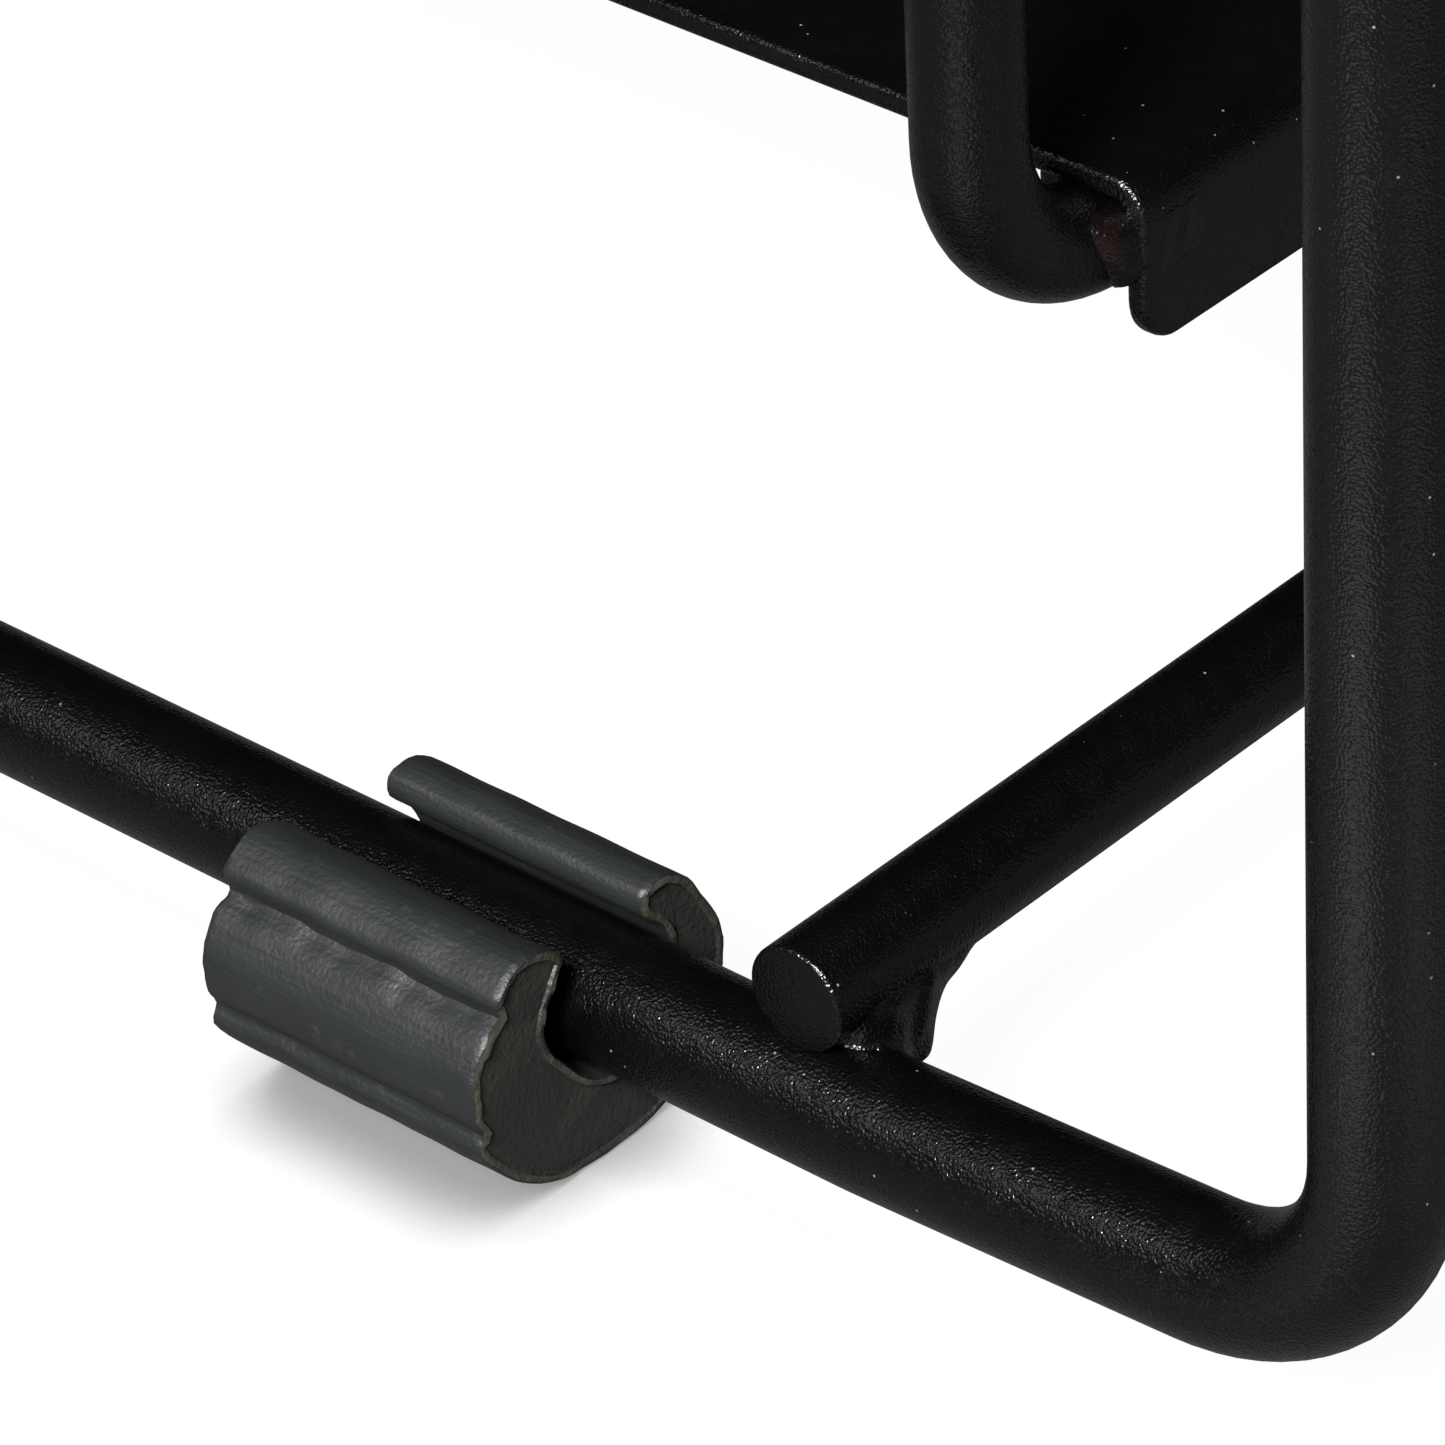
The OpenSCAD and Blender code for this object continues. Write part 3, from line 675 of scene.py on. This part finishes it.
def webbing(name, length):
    """Woven nylon webbing: thick ribs run along it, crossed by a fine pick. The thread is
    0.8 mm, drawn at 1.6 mm along so that it shows."""
    woven, place = start_material(name)
    flat_map = add_node(woven, "TexCoord").outputs["UV"]
    sized = add_node(woven, "Mapping", {"Vector": flat_map, "Scale": (STRAP_W / MM, length / MM, 1.0)})
    parts = add_node(woven, "SeparateXYZ", {"Vector": sized.outputs["Vector"]})
    column = add_node(woven, "Math", {0: parts.outputs["X"], 1: math.pi / 1.25}, operation="MULTIPLY")
    across = add_node(woven, "Math", {0: column.outputs[0]}, operation="SINE")
    rib = add_node(woven, "Math", {0: across.outputs[0]}, operation="ABSOLUTE")
    slant = add_node(woven, "Math", {0: parts.outputs["X"], 1: 0.9, 2: parts.outputs["Y"]},
                     operation="MULTIPLY_ADD")
    pitch = add_node(woven, "Math", {0: slant.outputs[0], 1: 2 * math.pi / 1.6}, operation="MULTIPLY")
    pick = add_node(woven, "Math", {0: pitch.outputs[0]}, operation="SINE")
    height = add_node(woven, "Math", {0: pick.outputs[0], 1: 0.35, 2: rib.outputs[0]},
                      operation="MULTIPLY_ADD")
    fuzz = add_node(woven, "TexNoise", {"Vector": place, "Scale": 2400.0, "Detail": 2.0})
    raised = add_node(woven, "Math", {0: fuzz.outputs["Fac"], 1: 0.3, 2: height.outputs[0]},
                      operation="MULTIPLY_ADD")
    # painted shade and highlight: the tint follows the weave's height, so the grooves between the threads
    # are painted darker and the raised threads lighter, with the fuzz adding random tone
    tone = add_node(woven, "MapRange", {"Value": raised.outputs[0], "From Min": 0.0, "From Max": 1.4})
    tint = add_node(woven, "Mix", {FACTOR: tone.outputs["Result"], COLOUR_A: linear("#020203"),
                                   COLOUR_B: linear("#101012")}, data_type="RGBA")
    bump = add_node(woven, "Bump", {"Height": raised.outputs[0], "Strength": 0.7, "Distance": 0.0004})
    shader = add_node(woven, "BsdfPrincipled", {"Base Color": tint.outputs[MIXED], "Roughness": 0.72,
                                                "Specular IOR Level": 0.12,
                                                "Sheen Weight": 0.02, "Sheen Roughness": 0.5,
                                                "Normal": bump.outputs["Normal"]})
    add_node(woven, "OutputMaterial", {"Surface": shader.outputs["BSDF"]})
    return woven


def strap_path():
    """The strap's middle line across and up from the hoop's plane, from one tail end round
    the rod, across, round the other rod and back to the other tail end."""
    ring = FRAME_D / 2 + STRAP_T / 2 + 0.0001
    tail_up = FRAME_D / 2 - STRAP_T / 2 - 0.0002
    ease = tail_up - 0.0007
    half = [(LAP_Y - TAIL + (TAIL - ring - ease) * k / 8, tail_up) for k in range(8)]
    half += [(LAP_Y - ring - ease + ease * math.sin(a), tail_up - ease + ease * math.cos(a))
             for a in (math.radians(15 * k) for k in range(7))]
    half += [(LAP_Y - ring * math.cos(a), -ring * math.sin(a))
             for a in (math.radians(15 * k) for k in range(0, 19))]
    across = [(LAP_Y - LAP_Y * k / 16, ring) for k in range(1, 17)]
    first = half + across
    return first + [(-y, z) for y, z in reversed(first[:-1])]


path = strap_path()
run = [0.0]
for (y0, z0), (y1, z1) in zip(path, path[1:]):
    run.append(run[-1] + math.hypot(y1 - y0, z1 - z0))
black_webbing = webbing("black_nylon_webbing", run[-1])


def stitch_row(name, at, to, count):
    """A row of lockstitches between two points: small pillows of thread."""
    clear_selection()
    at, to = Vector(at), Vector(to)
    step = (to - at) / count
    bpy.ops.mesh.primitive_uv_sphere_add(segments=6, ring_count=4, radius=0.00026)
    thread = bpy.context.object
    thread.scale = (step.length * 0.40 / 0.00026, 1.0, 0.75)
    bpy.ops.object.transform_apply(location=False, rotation=False, scale=True)
    thread.rotation_euler = step.to_track_quat("X", "Z").to_euler()
    thread.location = at + step / 2
    bpy.ops.object.transform_apply(location=True, rotation=True, scale=True)
    repeat = thread.modifiers.new("row", "ARRAY")
    repeat.count, repeat.use_relative_offset, repeat.use_constant_offset = count, False, True
    repeat.constant_offset_displace = step
    bpy.ops.object.modifier_apply(modifier=repeat.name)
    thread.name = thread.data.name = name
    return thread


def thread_finish(name):
    """Bonded nylon thread: a little shinier and greyer than the webbing it sews."""
    spun, place = start_material(name)
    twist = add_node(spun, "TexNoise", {"Vector": place, "Scale": 2500.0, "Detail": 1.0})
    tint = add_node(spun, "Mix", {FACTOR: twist.outputs["Fac"], COLOUR_A: linear("#1d1d20"),
                                  COLOUR_B: linear("#3a3a3e")}, data_type="RGBA")
    shader = add_node(spun, "BsdfPrincipled", {"Base Color": tint.outputs[MIXED], "Roughness": 0.5})
    add_node(spun, "OutputMaterial", {"Surface": shader.outputs["BSDF"]})
    return spun


black_thread = thread_finish("black_bonded_thread")
TOP = HOOP_H + FRAME_D / 2 + STRAP_T + 0.00012
edge_in, box_a, box_b = 0.0045, LAP_Y - 0.0095, LAP_Y - TAIL + 0.003
half_w = STRAP_W / 2 - edge_in
sewn = []
for t in (-1, 1):
    corners = [(-half_w, t * box_a), (half_w, t * box_a), (half_w, t * box_b), (-half_w, t * box_b)]
    lines = [(corners[k], corners[(k + 1) % 4]) for k in range(4)]
    lines += [(corners[0], corners[2]), (corners[1], corners[3])]
    for (x0, y0), (x1, y1) in lines:
        count = round(math.hypot(x1 - x0, y1 - y0) / 0.0026)
        sewn.append(stitch_row("stitches", (x0, y0, TOP), (x1, y1, TOP), count))
only(sewn[0])
for line in sewn[1:]:
    line.select_set(True)
bpy.ops.object.join()
stitching = finish_piece(sewn[0], black_thread, 60)

clear_selection()
bpy.ops.mesh.primitive_grid_add(x_subdivisions=8, y_subdivisions=len(path) - 1, size=1)
strap = bpy.context.object
strap.name = strap.data.name = "strap_blank"
rows = len(path)
for vertex in strap.data.vertices:
    row_at = round((vertex.co.y + 0.5) * (rows - 1))
    y, z = path[row_at]
    vertex.co = (vertex.co.x * STRAP_W, y, HOOP_H + z)
uv = strap.data.uv_layers.active.data
for loop in strap.data.loops:
    corner = strap.data.vertices[loop.vertex_index].co
    u, v = uv[loop.index].uv
    row_at = round(v * (rows - 1))
    uv[loop.index].uv = (u, run[row_at] / run[-1])
wall = strap.modifiers.new("thickness", "SOLIDIFY")
wall.thickness, wall.offset, wall.use_even_offset = STRAP_T, 0.0, True
rim = strap.modifiers.new("selvedge", "BEVEL")
rim.width, rim.segments, rim.angle_limit = 0.0004, 2, math.radians(50)
only(strap)
bpy.ops.object.modifier_apply(modifier=wall.name)
bpy.ops.object.modifier_apply(modifier=rim.name)
bpy.ops.object.shade_smooth_by_angle(angle=math.radians(50))
strap.data.materials.append(black_webbing)
for i in range(1, 6):
    x = (i - 3) * (2 * POST_X - 0.120) / 4
    for source, name in ((strap, f"webbing_strap_{i}"), (stitching, f"strap_stitching_{i}")):
        only(source)
        bpy.ops.object.duplicate()
        piece = bpy.context.object
        piece.name = piece.data.name = name
        piece.location = (x, 0, 0)
        bpy.ops.object.transform_apply(location=True, rotation=True, scale=True)
        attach(piece, "deck")
    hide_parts(f"strap_{i}")
for source in (strap, stitching):
    bpy.data.objects.remove(source)

# ---------------------------------------------------------------------------------------
# Studio: a white floor whose glow carries a painted contact shadow, darkened by ambient occlusion only
# close under the rack, and nearly dark air all round. One strong softbox stands in front, weak ones at the
# left and at the right, and two small cards lie beside the posts.
# ---------------------------------------------------------------------------------------
clear_selection()
bpy.ops.mesh.primitive_plane_add(size=30, location=(0, 0, 0))
floor = bpy.context.object
floor.name = "studio_floor"
paper = bpy.data.materials.new("white_paper")
paper.use_nodes = True
paper.node_tree.nodes.clear()
seen = add_node(paper, "LightPath")
# painted contact shadow: ambient occlusion within 8 mm darkens the floor's glow under the rack and its
# feet
corner = add_node(paper, "AmbientOcclusion", {"Distance": 0.008}, samples=8)
painted_contact_shadow = add_node(paper, "MapRange", {"Value": corner.outputs["AO"], "From Min": 0.35, "From Max": 0.85,
                                       "To Min": 0.30, "To Max": 0.97})
glow = add_node(paper, "Emission", {"Color": (1, 1, 1, 1), "Strength": painted_contact_shadow.outputs["Result"]})
pale = add_node(paper, "BsdfDiffuse", {"Color": (0.03, 0.03, 0.03, 1)})
lit = add_node(paper, "AddShader", {0: glow.outputs[0], 1: pale.outputs[0]})
dull = add_node(paper, "BsdfDiffuse", {"Color": (0.08, 0.08, 0.08, 1)})
both = add_node(paper, "MixShader", {0: seen.outputs["Is Camera Ray"], 1: dull.outputs[0],
                                     2: lit.outputs[0]})
add_node(paper, "OutputMaterial", {"Surface": both.outputs[0]})
floor.data.materials.append(paper)

world = bpy.data.worlds.new("studio")
bpy.context.scene.world = world
world.use_nodes = True
world.node_tree.nodes.clear()
seen = add_node(world, "LightPath")
air = add_node(world, "MapRange", {"Value": seen.outputs["Is Camera Ray"], "To Min": 0.02, "To Max": 1.0})
sky = add_node(world, "Background", {"Color": (1, 1, 1, 1), "Strength": air.outputs["Result"]})
add_node(world, "OutputWorld", {"Surface": sky.outputs[0]})

target = Vector((0.24, -0.17, 0.04))      # just inside the front right corner
for name, direction, distance, size, power in (
        ("front_softbox", (0.23, -0.71, 0.66), 1.6, 0.50, 90.0),
        ("left_softbox", (-0.566, -0.61, 0.56), 1.6, 0.50, 2.2),
        ("right_softbox", (0.90, 0.40, 0.10), 1.6, 0.7, 0.3)):
    lamp = bpy.data.lights.new(name, "AREA")
    lamp.shape, lamp.size, lamp.energy = "DISK", size, power
    light = bpy.data.objects.new(name, lamp)
    bpy.context.scene.collection.objects.link(light)
    toward = Vector(direction).normalized()
    light.location = target + toward * distance
    light.rotation_euler = toward.to_track_quat("Z", "Y").to_euler()
    light.visible_camera = False

# The cards lie on the floor beside the rack and throw light up at the posts.
for name, place, heading, size, power in (
        ("front_card", (0.269, -0.311, 0.001), -95.7, (0.16, 0.060), 0.026),
        ("right_card", (0.390, -0.217, 0.001), -17.8, (0.14, 0.060), 0.010)):
    lamp = bpy.data.lights.new(name, "AREA")
    lamp.shape, lamp.size, lamp.size_y, lamp.energy = "RECTANGLE", *size, power
    light = bpy.data.objects.new(name, lamp)
    bpy.context.scene.collection.objects.link(light)
    light.location = place
    light.rotation_euler = (math.pi, 0, math.radians(heading))
    light.visible_camera = False

# The camera looks down from the front right corner through a long lens.
azimuth, elevation, tilt = 0.751588, 0.593828, -0.053876     # radians
camera_at = (0.526730, -0.512899, 0.337765)
focal_length = 201.26                     # mm, on a sensor 36 mm wide
back = Vector((math.sin(azimuth) * math.cos(elevation), -math.cos(azimuth) * math.cos(elevation),
               math.sin(elevation)))
level = Vector((math.cos(azimuth), math.sin(azimuth), 0))
steep = back.cross(level)
right = math.cos(tilt) * level + math.sin(tilt) * steep
up = -math.sin(tilt) * level + math.cos(tilt) * steep
lens = bpy.data.cameras.new("camera")
lens.sensor_width, lens.lens = 36.0, focal_length
lens.clip_start, lens.clip_end = 0.01, 100.0
camera = bpy.data.objects.new("camera", lens)
bpy.context.scene.collection.objects.link(camera)
turn = Matrix((right, up, back)).transposed().to_4x4()
camera.matrix_world = Matrix.Translation(camera_at) @ turn
bpy.context.scene.camera = camera
bpy.context.scene.view_settings.view_transform = "Standard"
